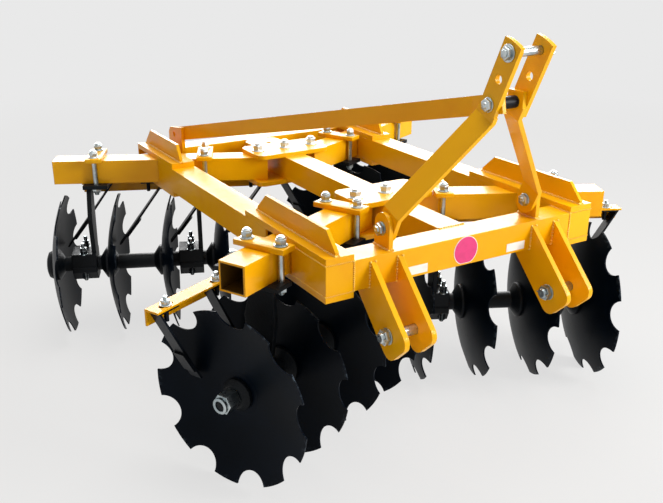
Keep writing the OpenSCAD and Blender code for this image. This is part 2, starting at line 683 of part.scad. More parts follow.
module discs(g) at_shaft(g) for (i = [0:disc_n - 1]) translate([i * disc_pitch, 0, 0]) notched_disc(turn(g, i));
module discs_front_left() color("darkslategray") place() discs(FL);
module discs_front_right() color("darkslategray") place() discs(FR);
module discs_rear_left() color("darkslategray") place() discs(RL);
module discs_rear_right() color("darkslategray") place() discs(RR);

// spool between two discs, washer on the hollow end, bumper on the round end
module spool() {
  l = disc_pitch - disc_t;
  f = spool_flange_d / 2;
  r = spool_d / 2;
  rotate([0, 90, 0]) rotate_extrude() polygon([[shaft_d / 2 + hole_c, 0], [f, 0], [f, spool_flange_t],
    [r, spool_flange_t + spool_taper], [r, l - spool_flange_t - spool_taper], [f, l - spool_flange_t],
    [f, l], [shaft_d / 2 + hole_c, l]]);
}
module bumper() {
  b = bumper_d / 2;
  rotate([0, 90, 0]) rotate_extrude() polygon([[shaft_d / 2 + hole_c, 0], [b, 0], [b, bumper_l * 0.45],
    [b * 0.9, bumper_l * 0.8], [b * 0.62, bumper_l], [shaft_d / 2 + hole_c, bumper_l]]);
}
module end_washer() {
  rotate([0, 90, 0]) rotate_extrude() polygon([[shaft_d / 2 + hole_c, -gang_washer_t],
    [gang_washer_d * 0.36, -gang_washer_t], [gang_washer_d / 2, -gang_washer_t * 0.4],
    [gang_washer_d / 2, 0], [shaft_d / 2 + hole_c, 0]]);
}
module spools(g) at_shaft(g) {
  for (i = [0:disc_n - 2]) translate([dish + i * disc_pitch, 0, 0]) spool();
  translate([dish + (disc_n - 1) * disc_pitch, 0, 0]) bumper();
  translate([dish - disc_t, 0, 0]) end_washer();
}
module spools_front_left() color("gray") place() spools(FL);
module spools_front_right() color("gray") place() spools(FR);
module spools_rear_left() color("gray") place() spools(RL);
module spools_rear_right() color("gray") place() spools(RR);

// shaft, flush with the bumper at the round end, with a nut at the hollow end
module shaft(g) {
  x0 = dish - disc_t - gang_washer_t;
  x1 = dish + (disc_n - 1) * disc_pitch + bumper_l;
  at_shaft(g) rotate([0, 90, 0]) {
    translate([0, 0, x0 - gang_nut_t - thread_out]) cylinder(r = shaft_d / 2, h = x1 - x0 + gang_nut_t + thread_out);
    translate([0, 0, x0 - gang_nut_t]) hex(gang_nut_af, gang_nut_t);
  }
}
module shaft_front_left() color("silver") place() shaft(FL);
module shaft_front_right() color("silver") place() shaft(FR);
module shaft_rear_left() color("silver") place() shaft(RL);
module shaft_rear_right() color("silver") place() shaft(RR);

front_crossbeam();
rear_crossbeam();
left_side_beam();
right_side_beam();
centre_beam();
corner_front_left();
corner_front_right();
corner_rear_left();
corner_rear_right();
front_centre_plates();
rear_centre_plates();
gang_beam_front_left();
gang_beam_front_right();
gang_beam_rear_left();
gang_beam_rear_right();
clamps_front_left();
clamps_front_right();
clamps_rear_left();
clamps_rear_right();
hangers_front_left();
hangers_front_right();
hangers_rear_left();
hangers_rear_right();
scraper_bar_front_left();
scraper_bar_front_right();
scraper_bar_rear_left();
scraper_bar_rear_right();
scrapers_front_left();
scrapers_front_right();
scrapers_rear_left();
scrapers_rear_right();
mast_left();
mast_right();
mast_bolts();
tie_bar();
hitch_left();
hitch_right();
hitch_pins();
discs_front_left();
discs_front_right();
discs_rear_left();
discs_rear_right();
spools_front_left();
spools_front_right();
spools_rear_left();
spools_rear_right();
shaft_front_left();
shaft_front_right();
shaft_rear_left();
shaft_rear_right();
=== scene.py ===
import math

import bmesh
import bpy
from mathutils import Matrix, Vector


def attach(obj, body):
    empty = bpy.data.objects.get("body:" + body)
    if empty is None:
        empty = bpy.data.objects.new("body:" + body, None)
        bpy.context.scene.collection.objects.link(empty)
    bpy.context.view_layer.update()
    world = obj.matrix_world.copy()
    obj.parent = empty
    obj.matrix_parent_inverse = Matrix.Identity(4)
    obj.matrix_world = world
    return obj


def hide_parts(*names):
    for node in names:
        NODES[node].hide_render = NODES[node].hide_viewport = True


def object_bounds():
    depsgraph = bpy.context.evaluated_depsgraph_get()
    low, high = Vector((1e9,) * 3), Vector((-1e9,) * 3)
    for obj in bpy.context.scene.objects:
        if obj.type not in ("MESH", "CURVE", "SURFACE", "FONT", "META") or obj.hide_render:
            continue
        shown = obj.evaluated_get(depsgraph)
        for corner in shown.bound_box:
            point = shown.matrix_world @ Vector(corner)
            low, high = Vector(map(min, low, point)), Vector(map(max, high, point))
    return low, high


# Mounted disc harrow: finishes, fasteners, welds, blank labels and a studio round its solid pieces
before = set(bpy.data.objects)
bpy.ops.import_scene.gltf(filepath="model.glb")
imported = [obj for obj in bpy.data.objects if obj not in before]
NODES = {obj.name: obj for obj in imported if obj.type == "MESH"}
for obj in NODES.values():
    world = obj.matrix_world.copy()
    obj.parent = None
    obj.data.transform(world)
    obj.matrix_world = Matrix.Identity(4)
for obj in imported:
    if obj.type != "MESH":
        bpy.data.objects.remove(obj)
cad_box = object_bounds()

# ---- camera -------------------------------------------------------------
camera = bpy.data.objects.new("camera", bpy.data.cameras.new("camera"))
bpy.context.scene.collection.objects.link(camera)
camera.location = (-1.2836, -2.0835, 1.2732)
camera.rotation_euler = Vector((0.4661, 0.8008, -0.3762)).to_track_quat("-Z", "Y").to_euler()
camera.data.sensor_fit = "HORIZONTAL"
camera.data.sensor_width = 36.0
camera.data.lens = 45.03
camera.data.shift_x = 0.0228
camera.data.shift_y = 0.0222
camera.data.clip_end = 200
bpy.context.scene.camera = camera
bpy.context.scene.view_settings.view_transform = "Standard"

# ---- sizes of the machine, in metres ---------------------------------------
# y counts back from the front face of the front crossbeam; the origin lies this far behind it
MID_Y = 0.627
# square tubes and the height of their tops, half the frame's width, front of the rear crossbeam
TUBE, TUBE_TOP, HALF, REAR_Y = 0.075, 0.582, 0.412, 1.172
TUBE_LOW = TUBE_TOP - TUBE
# plates over the corners, their lip behind the rear crossbeam, and the plates in the middle
CORNER_T, LIP_T, CENTRE_T = 0.016, 0.006, 0.014
# hangers' flanges under the gang beams, the packing under those, and the angle irons below it
FLANGE_T, PACK_T = 0.012, 0.016
BAR_TOP = TUBE_LOW - FLANGE_T - PACK_T

# discs: radius, thickness, radius of the dish and of the flat centre
DISC_R, DISC_T, DISH_R, FLAT_R = 0.230, 0.004, 0.620, 0.058
# rim plane on the hollow side to the flat on the round side
DISH = math.sqrt(DISH_R ** 2 - FLAT_R ** 2) - math.sqrt((DISH_R - DISC_T) ** 2 - DISC_R ** 2)
# discs on a gang, disc to disc, height of the shafts, and first rim to the middle of the first gap
DISCS, PITCH, SHAFT_Z = 4, 0.176, 0.230
GAP_MID = (DISH + PITCH + DISH - DISC_T) / 2

# gangs by name: side, and 1 for those behind
GANGS = {"front_left": (-1, 0), "front_right": (1, 0), "rear_left": (-1, 1), "rear_right": (1, 1)}
# pairs hold the value of the front gangs, then that of the rear ones
PIVOT_X, PIVOT_Y = 0.100, (0.366, 0.960)
# turn of the left beams from straight across, and of their discs from the beam
BEAM_TURN = (math.radians(26.5), math.radians(-25.5))
ROW_TURN = (math.radians(-1.0), math.radians(3.0))
# first rim along the beam, shaft behind the beam's middle, and which way the discs follow
RIM_U, ROW_V, WAY = (-0.557, -0.114), (0.010, -0.027), (1, -1)
# bearings inward from the middle of their gap, and both clamps inward from their bearings
BEARING_SHIFT = (0.0, 0.008)
CLAMP_SHIFT = ((0.007, 0.0), (0.063, 0.063))

# mast: foot bolts, lean, joint bolt, top link pin
FOOT_Y, FOOT_Z, MAST_LEAN = 0.042, 0.628, math.radians(23.3)
JOINT_Z, TOP_PIN_Z = 0.919, 1.035
# inner sides of its ears and lugs, thickness of its bars and of the tie bar
EAR_X, LUG_X, MAST_T, TIE_T = 0.03825, 0.223, 0.012, 0.010
# lower hitch: place of its pin, space between its two plates, their thickness and outer sides
LINK_X, LINK_Y, LINK_Z = 0.248, -0.078, 0.415
LINK_GAP, LINK_T = 0.062, 0.014
OUTER = LINK_GAP / 2 + LINK_T

# room between pieces that seat on each other, and the step that keeps two faces apart
SEAT, HAIR = 0.0003, 0.0002
MIRROR = Matrix.Diagonal((-1, 1, 1, 1))


def moved(x=0.0, y=0.0, z=0.0):
    return Matrix.Translation((x, y, z))


def turned(angle, axis):
    return Matrix.Rotation(angle, 4, axis)


def gang_place(gang):
    """frame of a gang's beam: X inward along it, Y to the rear, origin at its pivot"""
    side, rear = gang
    left = moved(-PIVOT_X, PIVOT_Y[rear] - MID_Y) @ turned(BEAM_TURN[rear], "Z")
    return MIRROR @ left if side > 0 else left


def row_place(gang):
    """frame of a gang's discs: the beam's, turned about the middle of the gang"""
    rear = gang[1]
    middle = RIM_U[rear] + WAY[rear] * (DISCS - 1) / 2 * PITCH
    return gang_place(gang) @ moved(middle) @ turned(ROW_TURN[rear], "Z") @ moved(-middle)


def rim_place(gang):
    """frame on the ground under a gang's first rim: X along the discs, Y behind the shaft"""
    rear = gang[1]
    return row_place(gang) @ moved(RIM_U[rear], ROW_V[rear]) @ Matrix.Diagonal((WAY[rear], 1, 1, 1))


def shaft_place(gang):
    """frame of a gang's shaft: Z from the hollow end to the round end"""
    return rim_place(gang) @ moved(z=SHAFT_Z) @ turned(math.pi / 2, "Y")


def bearing_u(gang, n):
    """place of bearing n along the beam, in every second gap, 0 nearer the first disc"""
    rear = gang[1]
    return RIM_U[rear] + WAY[rear] * (GAP_MID + n * 2 * PITCH) + BEARING_SHIFT[rear]


def clamp_u(gang, n):
    """place of clamp n along the beam"""
    return bearing_u(gang, n) + CLAMP_SHIFT[gang[1]][n]


MAST = moved(0, FOOT_Y - MID_Y, FOOT_Z) @ turned(MAST_LEAN, "X")


def along_mast(z):
    """way up the leaning mast, from its foot bolts to height z"""
    return (z - FOOT_Z) / math.cos(MAST_LEAN)


def across(matrix, x=0.0):
    """frame whose Z runs along the machine's +X, from x"""
    return matrix @ moved(x) @ turned(math.pi / 2, "Y")


# ---- shader kit -----------------------------------------------------------
class Val:
    """a socket that adds Math nodes as an expression is written"""

    def __init__(self, shader, socket):
        self.shader, self.socket = shader, socket

    def _op(self, kind, a, b):
        return self.shader.node("ShaderNodeMath", {"operation": kind}, {0: a, 1: b})

    def __add__(self, other):
        return self._op("ADD", self, other)

    def __radd__(self, other):
        return self._op("ADD", other, self)

    def __sub__(self, other):
        return self._op("SUBTRACT", self, other)

    def __rsub__(self, other):
        return self._op("SUBTRACT", other, self)

    def __mul__(self, other):
        return self._op("MULTIPLY", self, other)

    def __rmul__(self, other):
        return self._op("MULTIPLY", other, self)

    def __gt__(self, other):
        return self._op("GREATER_THAN", self, other)

    def __lt__(self, other):
        return self._op("LESS_THAN", self, other)

    def size(self):
        return self._op("ABSOLUTE", self, 0.0)

    def larger(self, other):
        return self._op("MAXIMUM", self, other)

    def band(self, low, high):
        """0 below low, 1 above high, smooth between"""
        return self.shader.node("ShaderNodeMapRange", {"interpolation_type": "SMOOTHSTEP"},
                                {"Value": self, "From Min": low, "From Max": high})


class Shader:
    """a node tree that is built by expressions and ends in one shader"""

    def __init__(self, tree):
        self.tree = tree
        tree.nodes.clear()

    def put(self, socket, value):
        if isinstance(value, Val):
            self.tree.links.new(value.socket, socket)
        else:
            socket.default_value = value

    def make(self, kind, settings, values):
        """a node with its settings, then the values or links of its sockets"""
        made = self.tree.nodes.new(kind)
        for key, value in settings.items():
            setattr(made, key, value)
        for key, value in values.items():
            self.put(made.inputs[key], value)
        return made

    def node(self, kind, settings, values, output=0):
        """one output of a new node"""
        return Val(self, self.make(kind, settings, values).outputs[output])

    def vector(self, operation, a, b, output=0):
        return self.node("ShaderNodeVectorMath", {"operation": operation}, {0: a, 1: b}, output)

    def place(self):
        return self.node("ShaderNodeTexCoord", {}, {}, "Object")

    def end(self, kind, shader):
        """the output node of a material or a world, fed by a shader"""
        self.make(kind, {}, {0: shader})


class Finish(Shader):
    """a material with one Principled shader"""

    def __init__(self, name, **constants):
        self.material = bpy.data.materials.new(name)
        self.material.use_nodes = True
        super().__init__(self.material.node_tree)
        values = {key.replace("_", " "): value for key, value in constants.items()}
        self.skin = self.make("ShaderNodeBsdfPrincipled", {}, values)
        self.end("ShaderNodeOutputMaterial", Val(self, self.skin.outputs[0]))
        self.at = self.place()

    def noise(self, scale, detail, rough=0.5):
        return self.node("ShaderNodeTexNoise", {},
                         {"Vector": self.at, "Scale": scale, "Detail": detail, "Roughness": rough})

    def mix(self, mask, a, b):
        """colour a where mask is 0, b where it is 1"""
        return self.node("ShaderNodeMix", {"data_type": "RGBA"}, {0: mask, 6: a, 7: b}, 2)

    def height(self):
        return self.node("ShaderNodeSeparateXYZ", {}, {0: self.at}, 2)

    def off_axis(self, point, direction):
        """distance from a line"""
        arm = self.vector("CROSS_PRODUCT", self.vector("SUBTRACT", self.at, point), direction)
        return self.node("ShaderNodeVectorMath", {"operation": "LENGTH"}, {0: arm}, 1)

    def relief(self, height, distance, strength, edge=0.0):
        """bump, over edges rounded by a radius"""
        values = {"Height": height, "Distance": distance, "Strength": strength}
        if edge:
            values["Normal"] = self.node("ShaderNodeBevel", {"samples": 6}, {"Radius": edge})
        self.put(self.skin.inputs["Normal"], self.node("ShaderNodeBump", {}, values))

    def colour(self, value):
        self.put(self.skin.inputs["Base Color"], value)

    def rough(self, value):
        self.put(self.skin.inputs["Roughness"], value)

    def metal(self, value):
        self.put(self.skin.inputs["Metallic"], value)

    def coat(self, value):
        self.put(self.skin.inputs["Coat Weight"], value)


def linear(c):
    """one channel of a screen's colour, 0 to 255, as light"""
    c /= 255
    return c / 12.92 if c <= 0.04045 else ((c + 0.055) / 1.055) ** 2.4


def srgb(r, g, b):
    """colour as a screen shows it, each channel from 0 to 255, made a socket's value"""
    return (linear(r), linear(g), linear(b), 1.0)


# ---- finishes ---------------------------------------------------------------
# how far in from its sides a beam's open end is painted
SPRAYED = 0.0045


def yellow_paint(name="yellow_paint", zinc_over=0.0, zinc_under=0.0, beam=None):
    """sprayed golden yellow over rolled steel; fasteners over and under two heights are zinc,
    and a beam with this frame is bare steel inside, darkened further there as painted shade"""
    f = Finish(name, Coat_Roughness=0.14, IOR=1.5, Specular_IOR_Level=0.14)
    cloud = f.noise(2.6, 4.0)
    peel = f.noise(300.0, 2.0)
    wave = f.noise(34.0, 2.0)
    dust = f.noise(30.0, 6.0, 0.7)
    run = f.noise(7.0, 5.0, 0.6)
    base = f.mix(cloud.band(0.35, 0.7), srgb(244, 181, 0), srgb(238, 168, 0))
    base = f.mix(run.band(0.5, 0.85) * 0.35, base, srgb(222, 134, 0))
    base = f.mix(dust.band(0.64, 0.8) * 0.2, base, srgb(196, 146, 70))
    if zinc_over:
        height = f.height()
        zinc = (height > zinc_over) + (height < zinc_under)
        base = f.mix(zinc, base, srgb(190, 198, 200))
        f.metal(zinc)
    if beam:
        from_axis = f.vector("SUBTRACT", f.at, tuple(beam.translation))
        sideways = f.vector("DOT_PRODUCT", from_axis, tuple(beam.to_3x3() @ Vector((0, 1, 0))), 1)
        upright = f.height() - (TUBE_TOP - TUBE / 2)
        inside = sideways.size().larger(upright.size()) < TUBE / 2 - SPRAYED
        # bare steel inside the beam, darkened further as painted shade
        base = f.mix(inside * 0.88, base, srgb(40, 30, 22))
    f.colour(base)
    f.rough(0.3 + dust.band(0.4, 0.8) * 0.14 + cloud * 0.05)
    f.coat(0.12 + run * 0.1)
    f.relief(peel * 0.5 + wave * 0.8 + cloud * 0.4, 0.0008, 0.22, 0.0028)
    return f.material


def disc_lacquer(name, gang):
    """thin black lacquer, worn through to bare steel in places at the rim, and lighter there as a painted
    highlight
    """
    f = Finish("lacquer_" + name, Coat_Roughness=0.16, IOR=1.5, Specular_IOR_Level=0.05)
    shaft = shaft_place(gang)
    reach = f.off_axis(tuple(shaft.translation), tuple(shaft.to_3x3() @ Vector((0, 0, 1))))
    scratch = f.noise(90.0, 5.0, 0.6)
    cloud = f.noise(9.0, 4.0)
    rings = f.node("ShaderNodeMath", {"operation": "SINE"}, {0: reach * 2600.0})
    # bare steel at the rim, mixed in lighter than the lacquer as a painted highlight
    rim_wear_and_highlight = reach.band(DISC_R - 0.014, DISC_R) * scratch.band(0.5, 0.66)
    base = f.mix(cloud.band(0.3, 0.75), srgb(1, 7, 16), srgb(3, 12, 24))
    f.colour(f.mix(rim_wear_and_highlight * 0.35, base, srgb(84, 96, 108)))
    f.metal(rim_wear_and_highlight * 0.6)
    f.rough(0.32 + cloud * 0.16 + scratch.band(0.6, 0.75) * 0.1)
    f.coat(cloud * 0.03)
    f.relief(scratch + rings * 0.05, 0.0005, 0.22, 0.0012)
    return f.material


def black_casting():
    """sand-cast iron under satin black"""
    f = Finish("black_casting", IOR=1.5, Specular_IOR_Level=0.16)
    sand = f.noise(420.0, 3.0)
    cloud = f.noise(12.0, 4.0)
    pit = f.noise(150.0, 2.0)
    f.colour(f.mix(cloud.band(0.35, 0.7), srgb(6, 9, 13), srgb(16, 22, 28)))
    f.rough(0.38 + cloud * 0.16)
    f.relief(sand + pit.band(0.3, 0.5) * 0.5, 0.0009, 0.4, 0.004)
    return f.material


def black_plate(name="black_plate", bolt_top=0.0):
    """black strip steel; above bolt_top the fasteners are zinc"""
    f = Finish(name, IOR=1.5, Specular_IOR_Level=0.16)
    mill = f.noise(70.0, 5.0, 0.65)
    cloud = f.noise(11.0, 4.0)
    base = f.mix(cloud.band(0.3, 0.7), srgb(5, 8, 12), srgb(16, 22, 30))
    if bolt_top:
        zinc = f.height() > bolt_top
        base = f.mix(zinc, base, srgb(176, 184, 188))
        f.metal(zinc * 0.95)
    f.colour(base)
    f.rough(0.34 + mill * 0.18)
    f.relief(mill, 0.0004, 0.25, 0.001)
    return f.material


def zinc_plate():
    """bright zinc with a faint blue-green cast"""
    f = Finish("zinc_plate", IOR=1.5)
    spangle = f.noise(180.0, 2.0)
    cloud = f.noise(26.0, 4.0)
    f.colour(f.mix(cloud.band(0.3, 0.7), srgb(206, 212, 212), srgb(150, 162, 166)))
    f.metal(1.0)
    f.rough(0.22 + spangle * 0.16)
    f.relief(spangle, 0.0003, 0.2, 0.0006)
    return f.material


def weld_painted_highlight():
    """paint that gathers, thick and glossy, over weld ripples; its paler colour is a painted highlight"""
    f = Finish("weld_painted_highlight", Coat_Roughness=0.08, IOR=1.5)
    cloud = f.noise(140.0, 3.0)
    # paler yellow than the frame's paint: painted highlight on the weld ripples
    f.colour(f.mix(cloud.band(0.35, 0.7), srgb(252, 206, 70), srgb(240, 172, 20)))
    f.rough(0.2 + cloud * 0.15)
    f.coat(0.5 + cloud * 0.3)
    f.relief(cloud, 0.0004, 0.2)
    return f.material


def plain_label(name, colour, edge):
    """blank adhesive label"""
    f = Finish(name, Coat_Weight=0.3, Coat_Roughness=0.1, IOR=1.5)
    cloud = f.noise(60.0, 3.0)
    f.colour(f.mix(cloud.band(0.45, 0.7) * 0.5, colour, edge))
    f.rough(0.3 + cloud * 0.1)
    f.relief(cloud, 0.0002, 0.1)
    return f.material


PAINT, CAST, PLATE = yellow_paint(), black_casting(), black_plate()
ZINC, WELD = zinc_plate(), weld_painted_highlight()
SCRAPER = black_plate("scraper_steel", BAR_TOP + SEAT)
BOLTED_PAINT = yellow_paint("bolted_paint", TUBE_TOP + CENTRE_T + HAIR, TUBE_LOW - CENTRE_T - HAIR)
BEAM_PAINT, LACQUER = {}, {}
for name, gang in GANGS.items():
    BEAM_PAINT["gang_beam_" + name] = yellow_paint("beam_paint_" + name, beam=gang_place(gang))
    LACQUER["discs_" + name] = disc_lacquer(name, gang)


def finish_of(node):
    """finish of a piece of the frame or the gangs, by its name"""
    if node in LACQUER:
        return LACQUER[node]
    if node in BEAM_PAINT:
        return BEAM_PAINT[node]
    if node.startswith(("spools", "hangers")):
        return CAST
    if node.startswith("scrapers"):
        return SCRAPER
    if node.endswith("centre_plates"):
        return BOLTED_PAINT
    if node.startswith(("shaft", "clamps")) or node in ("mast_bolts", "hitch_pins"):
        return ZINC
    return PAINT


for node in NODES:
    mesh = NODES[node].data
    mesh.materials.clear()
    mesh.materials.append(finish_of(node))


# ---- making pieces ----------------------------------------------------------
def add(bm, part, place):
    """put a finished form into a larger piece, at its place"""
    bmesh.ops.transform(part, matrix=place, verts=part.verts)
    carrier = bpy.data.meshes.new("carrier")
    part.to_mesh(carrier)
    part.free()
    bm.from_mesh(carrier)
    bpy.data.meshes.remove(carrier)


def turning(bm, place, profile, steps=28):
    """body of revolution about place's Z, from a closed profile of (radius, z)"""
    part = bmesh.new()
    points = [part.verts.new((r, 0, z)) for r, z in profile]
    lines = [part.edges.new((points[i - 1], points[i])) for i in range(len(points))
             if profile[i - 1][0] or profile[i][0]]
    bmesh.ops.spin(part, geom=points + lines, cent=(0, 0, 0), axis=(0, 0, 1), angle=math.tau,
                   steps=steps, use_merge=True)
    bmesh.ops.remove_doubles(part, verts=part.verts, dist=1e-6)
    add(bm, part, place)


def rod(bm, place, r, z0, z1, steps=28):
    """plain round bar between two heights"""
    turning(bm, place, [(0, z0), (r, z0), (r, z1), (0, z1)], steps)


def block(bm, place, low, high, edge):
    """box from corner to corner, with its edges rounded"""
    part = bmesh.new()
    size = [h - l for l, h in zip(low, high)]
    centre = [(l + h) / 2 for l, h in zip(low, high)]
    bmesh.ops.create_cube(part, size=1.0, matrix=Matrix.Translation(centre) @ Matrix.Diagonal((*size, 1)))
    bmesh.ops.bevel(part, geom=part.edges[:], offset=edge, affect="EDGES", segments=2, profile=0.5,
                    material=-1)
    add(bm, part, place)


def hexagon(bm, place, across_flats, z0, z1):
    """hexagon nut between two heights, with its corners turned off at both ends"""
    part = bmesh.new()
    r = across_flats / math.sqrt(3)
    bmesh.ops.create_cone(part, cap_ends=True, segments=6, radius1=r, radius2=r, depth=z1 - z0,
                          matrix=moved(z=(z0 + z1) / 2))
    rims = [e for e in part.edges if abs(e.verts[0].co.z - e.verts[1].co.z) < 1e-6]
    bmesh.ops.bevel(part, geom=rims, offset=(r - across_flats / 2) * 0.62, affect="EDGES", segments=2,
                    profile=0.5, material=-1)
    add(bm, part, place)


def washer(bm, place, r, z0, z1):
    """washer between two heights, closed in the middle, with its rims broken"""
    edge = min(0.0006, (z1 - z0) / 3)
    turning(bm, place, [(0, z0), (r - edge, z0), (r, z0 + edge), (r, z1 - edge), (r - edge, z1), (0, z1)])


def thread(bm, place, r, z0, z1, lead=0.002, dimple=0.0):
    """threaded end with its point turned down, and a centre hole in its face"""
    turns = max(2, int(abs(z1 - z0) / lead))
    step = (z1 - z0) / turns
    root, shoulder, point = r * 0.9, r * 0.88, r * 0.8
    profile = [(0, z0)]
    for i in range(turns - 1):
        profile += [(root, z0 + i * step), (r, z0 + (i + 0.5) * step)]
    profile += [(shoulder, z1 - step * 0.5), (point, z1)]
    if dimple:
        profile += [(dimple, z1), (0, z1 - math.copysign(dimple, z1 - z0))]
    else:
        profile += [(0, z1)]
    turning(bm, place, profile, 20)


def bead(bm, a, b, size=0.0048, pitch=0.0075):
    """weld bead: a row of overlapping ripples from a to b, their y behind the front face"""
    a, b = (Vector((x, y - MID_Y, z)) for x, y, z in (a, b))
    run = b - a
    count = max(2, int(run.length / pitch))
    turn = run.to_track_quat("X", "Z").to_matrix().to_4x4()
    for i in range(count + 1):
        swell = 1 + 0.14 * math.sin(i * 2.3 + a.x * 90) + 0.08 * math.sin(i * 5.1)
        shape = turn @ Matrix.Diagonal((0.85, swell, swell, 1))
        bmesh.ops.create_icosphere(bm, subdivisions=1, radius=size,
                                   matrix=Matrix.Translation(a + run * (i / count)) @ shape)


def finished(name, bm, material, body="frame", replaces=(), smooth=35):
    """bmesh made into a piece that rides on a body, shaded smooth over edges of up to some degrees"""
    bmesh.ops.remove_doubles(bm, verts=bm.verts, dist=1e-7)
    bmesh.ops.recalc_face_normals(bm, faces=bm.faces)
    mesh = bpy.data.meshes.new(name)
    bm.to_mesh(mesh)
    bm.free()
    mesh.materials.append(material)
    mesh.shade_smooth()
    mesh.set_sharp_from_angle(angle=math.radians(smooth))
    piece = bpy.data.objects.new(name, mesh)
    bpy.context.scene.collection.objects.link(piece)
    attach(piece, body)
    if replaces:
        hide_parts(*replaces)


# ---- clamps over the gang beams ---------------------------------------------
CLAMP_L, CLAMP_W, CLAMP_T, CLAMP_EDGE = 0.146, 0.050, 0.014, 0.0016
# bolts from the beam's middle, their radius, each washer's radius and top, and the nut's top
CLAMP_V, CLAMP_R = 0.0495, 0.008
CLAMP_WASHERS, CLAMP_NUT_TOP = ((0.0172, 0.0030), (0.0150, 0.0046)), 0.018


def clamp_bolt(bm, at):
    """bolt with two washers and a lock nut over the plate, and a nut under the hanger's flange"""
    plate, flange = at @ moved(z=TUBE_TOP + CLAMP_T), at @ moved(z=TUBE_LOW - FLANGE_T)
    seat = 0
    for r, top in CLAMP_WASHERS:
        washer(bm, plate, r, seat, top)
        seat = top
    hexagon(bm, plate, 3 * CLAMP_R, seat, CLAMP_NUT_TOP)
    # collar of the lock nut, with the bolt's end in it
    collar = plate @ moved(z=CLAMP_NUT_TOP)
    turning(bm, collar, [(0, -0.001), (0.0112, -0.001), (0.0112, 0.0026), (0.0096, 0.0042),
                         (0.0085, 0.0042), (0.0082, 0.0016), (0, 0.0016)])
    thread(bm, collar, CLAMP_R, 0.001, 0.007, dimple=0.003)
    hexagon(bm, flange, 3 * CLAMP_R, -0.014, -0.0005)
    thread(bm, flange, CLAMP_R, -0.010, -0.022)
    rod(bm, at, CLAMP_R, TUBE_LOW - FLANGE_T - 0.002, TUBE_TOP + CLAMP_T + 0.004, 20)


for name, gang in GANGS.items():
    plates, bolts = bmesh.new(), bmesh.new()
    for n in (0, 1):
        at = gang_place(gang) @ moved(clamp_u(gang, n))
        low, high = (-CLAMP_W / 2, -CLAMP_L / 2, TUBE_TOP), (CLAMP_W / 2, CLAMP_L / 2, TUBE_TOP + CLAMP_T)
        block(plates, at, low, high, CLAMP_EDGE)
        for v in (-CLAMP_V, CLAMP_V):
            clamp_bolt(bolts, at @ moved(0, v))
    finished("clamp_plates_" + name, plates, PAINT, replaces=["clamps_" + name])
    finished("clamp_bolts_" + name, bolts, ZINC, replaces=["clamps_" + name])

# ---- gang shafts ------------------------------------------------------------
WASHER_T, NUT_T, THREAD_OUT, BUMPER_L = 0.022, 0.028, 0.024, 0.026
SHAFT_R, SHAFT_NUT, SHAFT_EDGE = 0.015, 0.046, 0.0012
# along the shaft from the first rim: inner face of the nut, hollow end, round end
NUT_IN = DISH - DISC_T - WASHER_T
HOLLOW_END = NUT_IN - NUT_T - THREAD_OUT
ROUND_END = DISH + (DISCS - 1) * PITCH + BUMPER_L


def gang_shaft(bm, at):
    """shaft with a shallow recess in its round end, and a lock nut with a round collar"""
    inside, rim = NUT_IN - NUT_T, ROUND_END - SHAFT_EDGE
    turning(bm, at, [(0, inside), (SHAFT_R, inside), (SHAFT_R, rim), (SHAFT_R - SHAFT_EDGE, ROUND_END),
                     (0.0105, ROUND_END), (0.0095, rim), (0.0042, rim), (0, ROUND_END - 0.005)], 40)
    hexagon(bm, at, SHAFT_NUT, HOLLOW_END + 0.011, NUT_IN - HAIR)
    collar = at @ moved(z=HOLLOW_END)
    turning(bm, collar, [(0, 0.005), (0.0128, 0.005), (0.0128, 0.002), (0.0145, 0), (0.0180, 0),
                         (0.0205, 0.0022), (0.0205, 0.013), (0, 0.013)], 40)


def shaft_end(bm, at):
    """black end of the shaft in the nut's collar, raised towards its middle round a centre hole"""
    collar = at @ moved(z=HOLLOW_END)
    turning(bm, collar, [(0, 0.0062), (0.0127, 0.0062), (0.0127, 0.0046), (0.0095, 0.0040),
                         (0.0050, 0.0024), (0.0030, 0.0024), (0, 0.0040)], 32)


for name, gang in GANGS.items():
    shaft, end = bmesh.new(), bmesh.new()
    gang_shaft(shaft, shaft_place(gang))
    shaft_end(end, shaft_place(gang))
    finished("gang_shaft_" + name, shaft, ZINC, "gang_" + name, replaces=["shaft_" + name])
    finished("gang_shaft_end_" + name, end, PLATE, "gang_" + name)

# ---- mast bolts and the top link pin ------------------------------------------
MAST_BOLT_R, MAST_WASHER_R, MAST_WASHER_T = 0.009, 0.0168, 0.003
TOP_PIN_R, TOP_WASHER_T, SPACER_R = 0.010, 0.0034, 0.014


def mast_bolt(bm, at, x0, x1):
    """bolt from outside x0 to outside x1: head with washer, nut with washer, threaded end"""
    start, end = across(at, x0), across(at, x1)
    rod(bm, across(at), MAST_BOLT_R, x0 - 0.001, x1 + 0.006, 24)
    washer(bm, start, MAST_WASHER_R, -MAST_WASHER_T, 0)
    hexagon(bm, start, 3 * MAST_BOLT_R, -0.010, -MAST_WASHER_T)
    thread(bm, start, MAST_BOLT_R * 0.8, -0.008, -0.013, dimple=0.003)
    washer(bm, end, MAST_WASHER_R, 0, MAST_WASHER_T)
    hexagon(bm, end, 3 * MAST_BOLT_R, MAST_WASHER_T, 0.014)
    thread(bm, end, MAST_BOLT_R, 0.010, 0.018, dimple=0.003)


def top_link_pin(bm, at):
    """pin through both ears: washer, head and button on the left, washer and nut on the right"""
    left, right = across(at, -EAR_X - MAST_T), across(at, EAR_X + MAST_T)
    start, end = -0.055, 0.0712
    turning(bm, across(at), [(0, start), (TOP_PIN_R, start), (TOP_PIN_R, end - 0.0012), (0.0085, end),
                             (0, end)], 32)
    head, button, nut = -0.0120, -0.0150, 0.0170
    washer(bm, left, 0.0195, -TOP_WASHER_T, 0)
    hexagon(bm, left, 0.025, head, -TOP_WASHER_T)
    washer(bm, left, 0.0085, button, head)
    washer(bm, right, 0.0200, 0, TOP_WASHER_T)
    hexagon(bm, right, 0.030, TOP_WASHER_T, nut)


